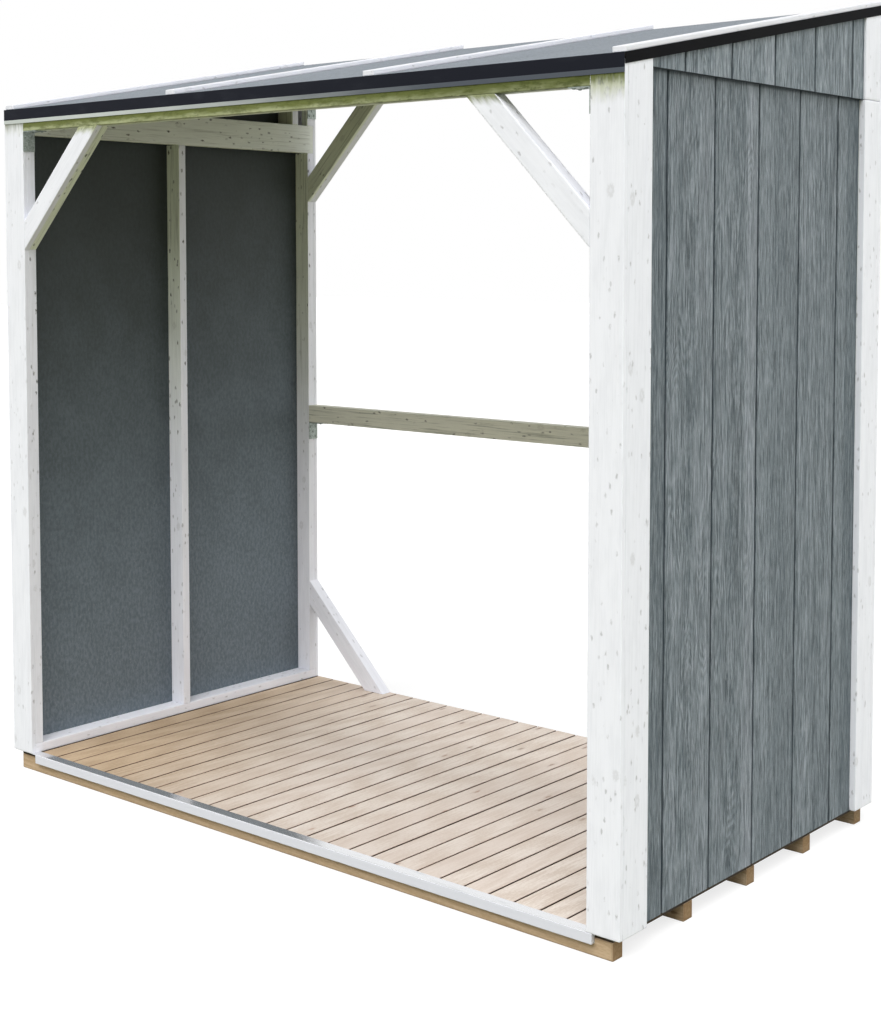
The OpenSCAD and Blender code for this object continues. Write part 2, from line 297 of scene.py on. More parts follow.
def greyPanel(name, firstGroove, lift):
    # an embossed grain, moved by a number of its own on each board between two grooves; plain inside, with
    # painted shade making it darker towards the top and the front
    f = Finish(name)
    look, pitch = panelLook, panelGrooves["pitch"]
    point = f.place()
    y, z = f.split(point)[1:]
    skin = f.attribute("skin")
    across = (y - firstGroove) / pitch
    number = across.floor()
    middle = (across - number - 0.5) * pitch
    seed = f.node("ShaderNodeTexWhiteNoise", {"noise_dimensions": "1D"},
                  {"W": number * look["seedStep"] + look["seedStart"]}, "Value")
    along = z + seed * 9.0
    sheet = f.join(y + seed * 3.0, along, seed * 5.0)
    sway = (f.noise(sheet, (7.0, 2.4, 1.0)) - 0.5) * 0.006
    swung = f.join(y + seed * 3.0 + sway, along, seed * 5.0)
    fine = f.noise(swung, (330.0, 20.0, 1.0), 4.0, 0.74)
    medium = f.noise(swung, (150.0, 5.0, 1.0), 2.0, 0.6)
    broad = f.noise(sheet, (16.0, 2.4, 1.0))
    # plain-sawn figure: lines of equal height in a slow field, so that they crowd, part and close into arches
    drift = (f.noise(sheet, (2.0, 2.6, 1.0)) - 0.5) * 0.060
    beside = abs(middle + drift)
    field = f.noise(sheet, (8.0, 1.3, 1.0), 2.0, 0.45)
    shiver = f.noise(sheet, (110.0, 22.0, 1.0))
    rings = (field * 250.0 + shiver * 4.0).sine()
    heart = f.rise(beside, 0.045, 0.012) * f.rise(seed, 0.25, 0.60)
    mottle = f.noise(sheet, (70.0, 13.0, 1.0), 3.0, 0.65)
    ripple = f.noise(sheet, (130.0, 60.0, 1.0), 2.0, 0.6)
    figure = rings * (0.25 + 0.75 * f.rise(mottle, 0.38, 0.58)) * (0.35 + 0.65 * f.rise(seed, 0.2, 0.8))
    lath = f.rise(middle - (seed - 0.5) * 0.10, 0.0, 0.0015) * (seed - 0.5)
    pits = f.rise(f.noise(swung, (300.0, 10.0, 1.0), 3.0, 0.6), 0.57, 0.64)
    ridges = f.rise(f.noise(swung, (300.0, 8.0, 2.0), 3.0, 0.6), 0.60, 0.70)
    tone = fine * 0.62 + medium * 0.28 + broad * 0.10 + figure * 0.036 + lath * 0.12 + ridges * 0.07
    tone = tone + heart * ((ripple - 0.5) * 0.16 - (mottle - 0.40) * 0.22)
    stops = [tuple(lift * part for part in look[key]) for key in ("dark", "mid", "light")]
    colour = f.ramp(f.rise(tone, 0.31, 0.73), list(zip((0.0, 0.5, 1.0), stops)))
    colour = f.blend(pits * 0.62, colour, look["dark"])
    # painted shade in the grooves
    colour = f.blend(f.rise(f.attribute("sunk"), 0.10, 0.85), colour, look["groove"])
    # painted shadow in a band just under the lap of the gable
    lap = f.rise(z, lapZ - look["lapShadow"], lapZ - 0.002) * (1 - f.rise(z, lapZ, lapZ + 0.001))
    colour = f.blend(lap * 0.75, colour, look["groove"])
    quiet = f.noise(point, (1.0, 105.0, 62.0), 4.0, 0.7)
    cloud = f.noise(point, (1.0, 9.0, 7.0), 3.0, 0.6)
    flecks = f.rise(f.noise(point, (1.0, 190.0, 170.0), 1.0), 0.66, 0.78)
    plain = f.blend(f.rise(quiet * 0.85 + cloud * 0.15, 0.36, 0.64) * 0.55, look["inside"], look["dark"])
    plain = f.blend(flecks * 0.5, plain, look["fleck"])
    # painted shade: darker towards the top and the front
    plain = f.blend(f.rise(z + (cloud - 0.5) * 0.3 - y * 0.22, 0.28, 1.88) * 0.90, plain, look["topShade"])
    colour = f.blend(skin, plain, colour)
    height = (fine * 0.6 + figure * 0.35 - pits * 0.9 + ridges * 0.7 + medium * 0.4) * skin + quiet * 0.12
    return f.surface(Base_Color=colour, Roughness=0.70 - fine * 0.12, Specular_IOR_Level=0.25,
                     Normal=f.bump(height, 0.90, 0.0030))


deckLook = {"pale": (0.665, 0.598, 0.540), "tan": (0.530, 0.445, 0.378), "pink": (0.600, 0.512, 0.456),
            "knot": (0.360, 0.225, 0.165), "end": (0.420, 0.310, 0.215), "gap": (0.060, 0.040, 0.026),
            "brown": (0.436, 0.324, 0.212), "brownDark": (0.340, 0.243, 0.152), "brownAmount": 0.95,
            "level": 0.978, "knotShare": 0.60, "gapShadeFrom": (0.0001, 0.0011)}
treatedLook = {"pale": (0.660, 0.510, 0.355), "tan": (0.410, 0.290, 0.175), "pink": (0.515, 0.366, 0.228),
               "knot": (0.150, 0.080, 0.035), "end": (0.190, 0.112, 0.046), "knotShare": 0.35}
# painted shade: the edge boards are near black, standing in for the shadow under the panels' foot
edgeShadeLook = {"pale": (0.060, 0.042, 0.024), "tan": (0.028, 0.020, 0.012), "pink": (0.040, 0.028, 0.016),
            "knot": (0.015, 0.010, 0.006), "end": (0.040, 0.028, 0.016), "knotShare": 0.3}
# painted shade: the roof boarding is darkened to stand in for the shade under the roof
boardingShadeLook = {"pale": (0.250, 0.225, 0.155), "tan": (0.170, 0.150, 0.095), "pink": (0.200, 0.170, 0.110),
                "knot": (0.090, 0.065, 0.040), "end": (0.150, 0.120, 0.070), "knotShare": 0.3}


def deckWood(name, look):
    # grain, rings and specks between two tones, knots at cell middles; the floor is also browner at the front
    # left and painted lighter where the roof and walls shade it
    f = Finish(name)
    grain = f.attribute("grain", "Vector")
    tone = f.attribute("tone")
    fine = f.noise(grain, (10.0, 210.0, 210.0), 3.0, 0.70)
    broad = f.noise(grain, (1.6, 60.0, 60.0))
    speck = f.noise(grain, (110.0, 260.0, 260.0), 2.0, 0.6)
    rings = growthRings(f, grain, 0.0062, 0.016)
    figure = f.rise(rings * 0.10 + fine * 0.50 + broad * 0.10 + speck * 0.30, 0.36, 0.64)
    colour = f.blend(figure, look["tan"], look["pale"])
    colour = f.blend(f.rise(tone, 0.25, 1.0) * 0.5, colour, look["pink"])
    colour = f.blend(f.rise((tone * 7.31).fraction(), 0.0, 1.0) * 0.16, colour, look["tan"])
    if "brown" in look:  # browner at the front left; painted light makes it paler to the back, to the right end and in a patch at the middle right; lighter again at the very left end
        x, y = f.split(f.place())[:2]
        browned = (1 - f.rise(x + (broad - 0.5) * 0.2 + y * 0.45, -1.10, -0.20)) * look["brownAmount"]
        colour = f.blend(browned, colour, f.blend(figure, look["brownDark"], look["brown"]))
        shadowLift = f.rise(x, -0.3, 0.4) * f.rise(y, -0.48, -0.10) * 0.11
        paintedLight = f.rise(y, 0.0, 0.5) * 0.345 + f.rise(x, 0.2, 1.0) * 0.20 + shadowLift
        level = look["level"] + paintedLight + (1 - f.rise(x, -0.95, -0.55)) * 0.10
        colour = f.node("ShaderNodeVectorMath", {"operation": "SCALE"}, {0: colour, "Scale": level})
    ragged = (f.noise(grain, (50.0, 200.0, 200.0)) - 0.5) * 0.16
    spots = f.stretch(grain, (6.0, 19.0, 19.0))
    apart = f.cells(spots) + ragged
    knotless = 1 - look["knotShare"]
    kept = f.rise(f.split(f.cells(spots, "Color"))[1], knotless, knotless + 0.01)
    halo = (1 - f.rise(apart, 0.06, 0.26)) * kept
    core = (1 - f.rise(apart, 0.03, 0.13)) * kept
    colour = f.blend(halo * 0.30, colour, look["tan"])
    colour = f.blend(core * 0.80, colour, look["knot"])
    # painted shade on the eased edges, widening the dark lines between boards
    colour = f.blend(f.attribute("rim") * 0.40, colour, look["knot"])
    sawn = f.noise(grain, (1.0, 130.0, 130.0), 3.0, 0.6)
    colour = f.blend(f.attribute("cut") * (0.45 + sawn * 0.6), colour, look["end"])
    # painted shade on the boards' sides below their tops, in the gaps between them
    if "gap" in look:
        colour = f.blend(f.rise(f.attribute("deep"), *look["gapShadeFrom"]), colour, look["gap"])
    height = fine * 0.5 + rings * 0.3 - core
    return f.surface(Base_Color=colour, Roughness=0.66 + fine * 0.16, Specular_IOR_Level=0.18,
                     Normal=f.bump(height, 0.35, 0.0006))


feltLook = {"grey": (0.176, 0.199, 0.223), "dark": (0.093, 0.105, 0.119), "pale": (0.268, 0.292, 0.317)}


def roofFelt():  # grit and mottle between two greys, darker runs down the slope and paler worn patches
    f = Finish("roof_felt")
    look = feltLook
    point = f.place()
    grit = f.noise(point, (620.0, 620.0, 620.0), 2.0, 0.7)
    worn = f.noise(point, (2.0, 1.2, 1.0), 4.0, 0.55)
    mottle = f.noise(point, (130.0, 130.0, 130.0), 3.0, 0.7)
    runs = f.noise(point, (24.0, 1.6, 1.0), 3.0, 0.6)
    colour = f.blend(f.rise(grit * 0.45 + mottle * 0.55, 0.36, 0.64), look["dark"], look["pale"])
    colour = f.blend(0.45, colour, look["grey"])
    colour = f.blend(f.rise(runs, 0.48, 0.72) * 0.15, colour, look["dark"])
    colour = f.blend(f.rise(worn, 0.45, 0.75) * 0.18, colour, look["pale"])
    return f.surface(Base_Color=colour, Roughness=0.90, Specular_IOR_Level=0.15,
                     Normal=f.bump(grit, 0.5, 0.0010))


edgingLook = {"black": (0.0095, 0.0108, 0.0168), "dust": (0.036, 0.040, 0.050), "shine": 0.08}
vergeLook = {"black": (0.0024, 0.0026, 0.0030), "dust": (0.010, 0.011, 0.012), "shine": 0.03}


def blackEdging(name, look):  # black with dust in clouds and along the folds, slightly rippled
    f = Finish(name)
    point = f.place()
    dust = f.noise(point, (9.0, 9.0, 26.0), 4.0, 0.6)
    ripple = f.noise(point, (3.0, 3.0, 14.0))
    dusty = f.rise(dust, 0.48, 0.80) * 0.30 + f.attribute("rim") * 0.10
    colour = f.blend(dusty, look["black"], look["dust"])
    return f.surface(Base_Color=colour, Roughness=0.46 + dust * 0.24, Specular_IOR_Level=look["shine"],
                     Normal=f.bump(ripple, 0.25, 0.002))


eaveLook = {"pale": (0.520, 0.555, 0.530), "slate": (0.055, 0.066, 0.082), "turn": (-0.50, 0.95)}


def eaveMetal():  # painted reflection: pale at the left end, slate at the right, with a noise moving the change to and fro
    f = Finish("eave_metal")
    point = f.place()
    x = f.split(point)[0]
    waver = f.noise(point, (6.0, 6.0, 40.0), 3.0) * 0.5
    colour = f.blend(f.rise(x + waver, *eaveLook["turn"]), eaveLook["pale"], eaveLook["slate"])
    return f.surface(Base_Color=colour, Roughness=0.42 + waver * 0.3, Metallic=0.25)


zincLook = {"bright": (0.33, 0.37, 0.34), "dull": (0.17, 0.205, 0.18), "spangle": (260.0, 260.0, 260.0)}


def zincPlate():  # each cell of spangle has a tone and a shine of its own
    f = Finish("zinc_plate")
    patch = f.split(f.cells(f.stretch(f.place(), zincLook["spangle"]), "Color"))[0]
    colour = f.blend(patch * 0.7, zincLook["bright"], zincLook["dull"])
    return f.surface(Base_Color=colour, Roughness=0.38 + patch * 0.22, Metallic=0.55)


stripLook = {"bright": (0.80, 0.81, 0.83), "smear": (0.62, 0.64, 0.66)}


def brightStrip():  # bright metal with fine drawn lines along it and a few smears
    f = Finish("bright_strip")
    point = f.place()
    drawn = f.noise(point, (2.0, 900.0, 900.0))
    smear = f.noise(point, (12.0, 60.0, 60.0), 3.0)
    colour = f.blend(f.rise(smear, 0.5, 0.8) * 0.6, stripLook["bright"], stripLook["smear"])
    return f.surface(Base_Color=colour, Roughness=0.10 + drawn * 0.08, Metallic=0.85,
                     Normal=f.bump(drawn, 0.05, 0.0003))


sillLook = {"white": (0.698, 0.708, 0.772), "scuff": (0.580, 0.590, 0.640)}


def sillPaint():  # smooth white, scuffed in patches and along its edges
    f = Finish("sill_paint")
    scuff = f.noise(f.place(), (9.0, 60.0, 60.0), 4.0, 0.6)
    scuffed = f.rise(scuff, 0.56, 0.80) * 0.4 + f.attribute("rim") * 0.12
    colour = f.blend(scuffed, sillLook["white"], sillLook["scuff"])
    return f.surface(Base_Color=colour, Roughness=0.34 + scuff * 0.2)


finishes = {
    "white": whiteWood(),
    "deck": deckWood("deck_wood", deckLook),
    "treated": deckWood("treated_wood", treatedLook),
    "boarding": deckWood("roof_boarding", boardingShadeLook),
    "edge": deckWood("edge_shade_wood", edgeShadeLook),
    "panel": greyPanel("grey_panel", frontY + panelGrooves["wallFirst"], 1.0),
    # painted light: the gable's copy of the panel is made 1.2 times lighter than the wall's
    "gable": greyPanel("grey_gable", frontY + panelGrooves["gableFirst"], panelLook["gableLitLift"]),
    "felt": roofFelt(),
    "edging": blackEdging("black_edging", edgingLook),
    "verge": blackEdging("black_verge", vergeLook),
    "eave": eaveMetal(),
    "zinc": zincPlate(),
    "strip": brightStrip(),
    "sill": sillPaint()}
print("finishes made:", len(finishes))


axisX, axisY, axisZ = np.eye(3)


def insetCorners(corners, amount):
    # every side of a convex outline moved inwards by the same amount
    along = np.roll(corners, -1, 0) - corners
    along /= np.linalg.norm(along, axis=1)[:, None]
    inward = np.stack([-along[:, 1], along[:, 0]], 1)
    before = np.roll(inward, 1, 0)
    return corners + amount * (before + inward) / (1 + (before * inward).sum(1))[:, None]


def leftTurning(corners):
    # the sum of x y' - y x' round an outline is above zero where it turns left; if not, it is read backwards
    x, y = corners.T
    area = np.sum(x * np.roll(y, -1) - y * np.roll(x, -1))
    return corners if area > 0 else corners[::-1]


# most of a side that one eased corner may take, how far in the middle of an eased end lies as a share of
# its ease, and the plain band beside a long edge as a share of the one at the ends
easing = {"cornerShare": 0.46, "middleShare": 0.3, "bandShare": 0.6}


def easedOutline(corners, ease, band):
    # each corner becomes a curve (1-s)^2 a + 2s(1-s) c + s^2 b, with a plain point beside it on both sides
    back = np.roll(corners, 1, 0) - corners
    ahead = np.roll(corners, -1, 0) - corners
    tight = min(1.0, easing["cornerShare"] * np.linalg.norm(ahead, axis=1).min() / (ease + band))
    ease, band = ease * tight, band * tight
    back /= np.linalg.norm(back, axis=1)[:, None]
    ahead /= np.linalg.norm(ahead, axis=1)[:, None]
    s = np.array([0.0, 0.25, 0.5, 0.75, 1.0])[None, :, None]
    c = corners[:, None, :]
    a, b = c + ease * back[:, None], c + ease * ahead[:, None]
    curve = (1 - s) ** 2 * a + 2 * s * (1 - s) * c + s ** 2 * b
    first = c + (ease + band) * back[:, None]
    last = c + (ease + band) * ahead[:, None]
    points = np.concatenate([first, curve, last], 1).reshape(-1, 2)
    rim = np.tile([0.0, 1, 1, 1, 1, 1, 0.0], len(corners))
    return points, rim


class Stock:  # vertices, faces and values of one or more solids that make a piece
    def __init__(self):
        self.points, self.faces, self.values, self.count = [], [], {}, 0

    def put(self, points, faces, **values):
        for block in faces:
            self.faces += (block + self.count).tolist()
        self.points.append(points)
        for key, value in values.items():
            self.values.setdefault(key, []).append(value)
        self.count += len(points)


def gridFaces(rings, around):
    # the square between point i and i + 1 of a closed ring and the same two points of the next ring
    k, i = np.meshgrid(np.arange(rings - 1), np.arange(around), indexing="ij")
    here, there = k * around, (k + 1) * around
    j = (i + 1) % around
    return np.stack([here + i, here + j, there + j, there + i], -1).reshape(-1, 4)


# where in its log a board was cut, in metres along the grain, beside the heart and through it
logPlace = {"along": (0, 40), "beside": (0.03, 0.16), "through": (-0.05, 0.05)}


def carried(stock, corners, pAxis, qAxis, start, length, grainAxis, ease=0.0018, band=0.004,
            endCut=(0.0, 0.0), film=0.0, bend=None):
    # an eased outline carried along t = p x q, its ends eased too, the far end cut at t = length + a p + b q
    corners = np.asarray(corners, float)
    tAxis = np.cross(pAxis, qAxis)
    e, mid = ease, easing["middleShare"] * ease
    # each step: how far along, how far inset, and 1 where it is on the eased rim
    steps = [(0, e + band, 0), (0, e, 1), (mid, mid, 1), (e, 0, 1), (e + band, 0, 0)]
    steps += [(length * k, 0, 0) for k in (0.25, 0.5, 0.75)]
    steps += [(length - t, inset, r) for t, inset, r in reversed(steps[:5])]
    rings, rims, cuts = [], [], []
    middle = corners.mean(0)
    grainAxis = np.asarray(grainAxis, float) / np.linalg.norm(grainAxis)
    sawn = float(abs(grainAxis @ tAxis) > 0.9)
    for t, inset, r in steps:
        points, rim = easedOutline(insetCorners(corners, inset), e, band * easing["bandShare"])
        offset = t / length * (points @ np.array(endCut))
        rings.append(np.column_stack([points, t + offset]))
        rims.append(np.maximum(rim * (inset <= e), r))
        cuts.append(np.full(len(points), sawn * (t <= 0 or t >= length)))
    caps = [[*middle, 0.0], [*middle, length + middle @ np.array(endCut)]]
    local = np.concatenate(rings + [np.array(caps)])
    rim = np.concatenate(rims + [np.zeros(2)])
    cut = np.concatenate(cuts + [np.full(2, sawn)])
    points = start + local[:, :1] * pAxis + local[:, 1:2] * qAxis + local[:, 2:] * tAxis
    n, m = len(rings[0]), len(rings)
    i = np.arange(n)
    j = (i + 1) % n
    low = np.stack([np.full(n, n * m), j, i], 1)
    high = np.stack([np.full(n, n * m + 1), (m - 1) * n + i, (m - 1) * n + j], 1)
    # the grain's own frame: along it, to its side and through it, from a place of its own in the log
    side = np.cross(grainAxis, axisX if abs(grainAxis[0]) < 0.8 else axisY)
    side /= np.linalg.norm(side)
    third = np.cross(grainAxis, side)
    centre = points.mean(0)
    shift = np.array([rng.uniform(*logPlace["along"]), rng.uniform(*logPlace["beside"]) * rng.choice([-1, 1]),
                      rng.uniform(*logPlace["through"])])
    rel = points - centre
    grain = np.stack([rel @ grainAxis, rel @ side, rel @ third], 1) + shift
    tone = np.full(len(points), rng.uniform())
    if bend is not None:
        points = bend(points, centre)
    deep = corners[:, 0].max() - local[:, 0]
    stock.put(points, [gridFaces(m, n), low, high], grain=grain, rim=rim, tone=tone, cut=cut, deep=deep,
              film=np.full(len(points), film))


def turned(stock, profile, centre, axis, segments=10):
    # a profile of (radius, height) turned about an axis through the centre
    axis = np.asarray(axis, float)
    side = np.cross(axis, axisY if abs(axis[1]) < 0.8 else axisX)
    side /= np.linalg.norm(side)
    third = np.cross(axis, side)
    a = np.arange(segments) * 2 * math.pi / segments
    spokes = np.cos(a)[:, None] * side + np.sin(a)[:, None] * third
    profile = np.asarray(profile, float)
    points = centre + profile[:, 0, None, None] * spokes + profile[:, 1, None, None] * axis
    m, n = len(profile), segments
    lids = np.stack([(m - 1) * n + np.arange(n), np.arange(n)[::-1]])
    stock.put(points.reshape(-1, 3), [gridFaces(m, n), lids])


def outlineSheet(stock, outline, pAxis, qAxis, start, lengths, **values):
    # any closed outline carried along p x q to a length of its own at every point
    outline = np.asarray(outline, float)
    tAxis = np.cross(pAxis, qAxis)
    base = start + outline[:, :1] * pAxis + outline[:, 1:] * qAxis
    n = len(outline)
    points = np.concatenate([base, base + np.asarray(lengths)[:, None] * tAxis])
    i = np.arange(n)
    lids = np.stack([i[::-1], i + n])
    doubled = {key: np.tile(value, 2) for key, value in values.items()}
    stock.put(points, [gridFaces(2, n), lids], **doubled)


def makePiece(name, stock, finish, slot, *replaced):
    # all points, faces and values of a stock in one mesh, smooth but for edges over the sharp angle
    sharpAngle = 40
    mesh = bpy.data.meshes.new(name)
    mesh.from_pydata(np.concatenate(stock.points).tolist(), [], stock.faces)
    for key, parts in stock.values.items():
        value = np.concatenate(parts)
        kind = "FLOAT_VECTOR" if value.ndim == 2 else "FLOAT"
        layer = mesh.attributes.new(key, kind, "POINT")
        layer.data.foreach_set("vector" if value.ndim == 2 else "value", value.astype(np.float32).ravel())
    mesh.materials.append(finishes[finish])
    mesh.update()
    mesh.shade_smooth()
    mesh.set_sharp_from_angle(angle=math.radians(sharpAngle))
    piece = bpy.data.objects.new(name, mesh)
    bpy.context.scene.collection.objects.link(piece)
    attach(piece, "root")
    if replaced:
        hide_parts(*replaced)


def rectangle(low, high):  # four corners from the low one to the high one, turning left
    return [(low[0], low[1]), (high[0], low[1]), (high[0], high[1]), (low[0], high[1])]


def upright(stock, low, high, top=None, **more):
    # the box's rectangle in plan carried upwards, level at the top or cut to the slope of the roof
    cut = (0.0, 0.0) if top is not None else (0.0, slope)
    reach = (top if top is not None else roofUnder(0.0)) - low[2]
    carried(stock, rectangle(low, high), axisX, axisY, axisZ * low[2], reach, axisZ, endCut=cut, **more)


def sideShape(stock, corners, x0, x1, grainAxis, **more):
    # an outline in the side view (y, z) carried along x
    carried(stock, corners, axisY, axisZ, axisX * x0, x1 - x0, grainAxis, **more)


def plainBar(name, grainAxis, **more):  # a node's box as a rectangle in the side view, carried along x
    low, high = boxOf(name)
    stock = Stock()
    sideShape(stock, rectangle(low[1:], high[1:]), low[0], high[0], grainAxis, **more)
    return stock


def lengthwise(stock, x0, x1, low, high, **more):  # a rectangle in the front view (z, x) carried back along y
    corners = rectangle((low[2], x0), (high[2], x1))
    carried(stock, corners, axisZ, axisX, axisY * low[1], high[1] - low[1], axisY, **more)


def alongRoof(low, high):
    # side view of a bar laid along the roof: both ends as high as its box less the rise of the slope
    rise = slope * (high[1] - low[1])
    return [(low[1], low[2]), (high[1], low[2] + rise), (high[1], high[2]), (low[1], high[2] - rise)]


whiteStock = {"ease": 0.0016, "band": 0.003}
metalStock = {"ease": 0.0005, "band": 0.0004}
wallGive = {"levelTops": ("middle_stud", "rear_stud"), "trimJoint": 0.001, "railFilmShade": 0.6}


def whiteTimber(name, stock):  # a piece of white wood that stands for the node of its own name
    makePiece(name + "_timber", stock, "white", "white_wood", name)


def wallTimbers():
    # posts and trims as uprights, plates as bars, and a rail whose top follows the roof as far as its knee
    for side in ("right", "left"):
        for part in ("front_stud", "middle_stud", "rear_stud", "front_trim", "rear_trim", "front_side_trim"):
            name = side + "_" + part
            low, high = boxOf(name)
            stock = Stock()
            upright(stock, low, high, high[2] if part in wallGive["levelTops"] else None, **whiteStock)
            whiteTimber(name, stock)
        name = side + "_rear_side_trim"
        low, high = boxOf(name)
        stock = Stock()
        upright(stock, low, high, lapZ - wallGive["trimJoint"], **whiteStock)
        upright(stock, (low[0], low[1], lapZ), high, **whiteStock)
        whiteTimber(name, stock)
        name = side + "_bottom_plate"
        whiteTimber(name, plainBar(name, axisY, **whiteStock))
        name = side + "_top_rail"
        low, high = boxOf(name)
        frontTop = roofUnder(low[1])
        knee = low[1] + (high[2] - frontTop) / slope
        corners = [(low[1], low[2]), (high[1], low[2]), (high[1], high[2]), (knee, high[2]),
                   (low[1], frontTop)]
        stock = Stock()
        # the top rail's dose of painted shade
        sideShape(stock, corners, low[0], high[0], axisY, film=wallGive["railFilmShade"], **whiteStock)
        whiteTimber(name, stock)
    for name in ("gable_studs", "rear_uprights"):
        low, high = boxOf(name)
        stock = Stock()
        upright(stock, (innerX, low[1], low[2]), high, **whiteStock)
        upright(stock, (-high[0], low[1], low[2]), (-innerX, high[1]), **whiteStock)
        whiteTimber(name, stock)
    print("wall timbers placed")


backRail = {"film": 1.3}  # over 1 the painted shade on the rail takes the browner rail tint


def frameTimbers():
    # beams with their tops cut to the roof, the back rail, and braces mitred at 45 degrees at both ends
    for name in ("front_beam", "rear_beam"):
        low, high = boxOf(name)
        y0, y1 = low[1], high[1]
        stock = Stock()
        corners = [(y0, low[2]), (y1, low[2]), (y1, roofUnder(y1)), (y0, roofUnder(y0))]
        sideShape(stock, corners, low[0], high[0], axisX, **whiteStock)
        whiteTimber(name, stock)
    whiteTimber("rear_rail", plainBar("rear_rail", axisX, **backRail, **whiteStock))
    # a brace is as wide as the back rail is high, and its mitre is that times the root of 2
    low, high = boxOf("rear_rail")
    cut = (high[2] - low[2]) * math.sqrt(2)
    for name, foot in (("front_braces", False), ("rear_braces", False), ("foot_braces", True)):
        low, high = boxOf(name)
        leg = high[2] - low[2]
        z0, turn = (low[2], 1) if foot else (high[2], -1)
        stock = Stock()
        for sign in (1, -1):
            # corners as (z, x): along the post first, then along the beam or floor
            corners = np.array([(z0 + turn * leg, sign * innerX), (z0 + turn * (leg - cut), sign * innerX),
                                (z0, sign * (innerX - leg + cut)), (z0, sign * (innerX - leg))])
            carried(stock, leftTurning(corners), axisZ, axisX, axisY * low[1], high[1] - low[1],
                    (sign * turn, 0, 1), **whiteStock)
        whiteTimber(name, stock)
    print("frame timbers placed")


floorBoards = {"count": 27, "gap": 0.0047, "bow": 0.0006, "wave": 5, "creep": 0.0005}
floorStock = {"ease": 0.0014, "band": 0.003}
edgeStock = {"ease": 0.0015, "band": 0.003}
bearerCut = {"count": 5, "thick": 0.038}
bearerStock = {"ease": 0.0018, "band": 0.004}
sillStock = {"ease": 0.0012, "band": 0.003}


def floor():
    # boards at an even pitch, each a little off its place, its top lowered along a sine by a bow of its own
    low, high = boxOf("floor_boards")
    give = floorBoards
    pitch = (high[0] - low[0] + give["gap"]) / give["count"]
    stock = Stock()
    for i in range(give["count"]):
        x0 = low[0] + i * pitch + rng.uniform(-1, 1) * give["creep"]
        lift, phase = rng.uniform(-1, 0) * give["bow"], rng.uniform(0, 6)

        def bend(points, centre, lift=lift, phase=phase):
            along = (points[:, 1] - low[1]) / (high[1] - low[1])
            sag = lift * (0.5 + 0.5 * np.sin(along * give["wave"] + phase))
            out = points.copy()
            out[:, 2] += sag * (points[:, 2] > centre[2])
            return out
        lengthwise(stock, x0, x0 + pitch - give["gap"], low, high, bend=bend, **floorStock)
    makePiece("floor_planks", stock, "deck", "deck_wood", "floor_boards")
    stock = Stock()
    low, high = boxOf("edge_boards")
    for x0, x1 in ((innerX, high[0]), (low[0], -innerX)):
        lengthwise(stock, x0, x1, low, high, **edgeStock)
    makePiece("edge_planks", stock, "edge", "treated_wood", "edge_boards")
    low, high = boxOf("bearers")
    thick, last = bearerCut["thick"], bearerCut["count"] - 1
    stock = Stock()
    for i in range(bearerCut["count"]):
        y0 = low[1] + i * (high[1] - low[1] - thick) / last
        corners = rectangle((y0, low[2]), (y0 + thick, high[2]))
        sideShape(stock, corners, low[0], high[0], axisX, **bearerStock)
    makePiece("bearer_timbers", stock, "treated", "treated_wood", "bearers")
    for name, edge, finish, slot in (("front_sill", sillStock, "sill", "white_wood"),
                                     ("sill_strip", metalStock, "strip", "metal_strip")):
        makePiece(name + "_bar", plainBar(name, axisX, **edge), finish, slot, name)
    print("floor placed")


def panels():
    # an outline in plan, flat inside and grooved outside, carried up to the roof or to the panel's own top
    cut = panelGrooves
    across, deep = np.array(cut["across"]), np.array(cut["deep"])
    parts = (("wall_panel", "wallFirst", "panel"), ("gable_panel", "gableFirst", "gable"))
    for side, sign in (("right", 1), ("left", -1)):
        for part, first, finish in parts:
            name = side + "_" + part
            low, high = boxOf(name)
            grooveY = frontY + cut[first] + np.arange(cut["count"]) * cut["pitch"]
            y = np.concatenate([[low[1]], (grooveY[:, None] + across).ravel(), [high[1], high[1], low[1]]])
            sunk = np.concatenate([[0], np.tile(deep, cut["count"]), [0]])
            outer = (high[0] if sign > 0 else -low[0]) - sunk
            inner = low[0] if sign > 0 else -high[0]
            outline = np.column_stack([np.concatenate([outer, [inner, inner]]), y])
            skin = np.concatenate([np.ones(len(outer)), [0, 0]])
            depth = np.concatenate([sunk / deep.max(), [0, 0]])
            top = np.minimum(roofUnder(y), high[2]) - low[2]
            if sign < 0:
                outline, skin, depth, top = outline[::-1] * [-1, 1], skin[::-1], depth[::-1], top[::-1]
            stock = Stock()
            outlineSheet(stock, outline, axisX, axisY, axisZ * low[2], top, skin=skin, sunk=depth)
            makePiece(name + "_sheet", stock, finish, "grey_panel", name)
    print("panels placed")


battenCut = {"count": 4, "wide": 0.036}
boardingCut = {"count": 14}
boardingStock = {"ease": 0.0022, "band": 0.002}


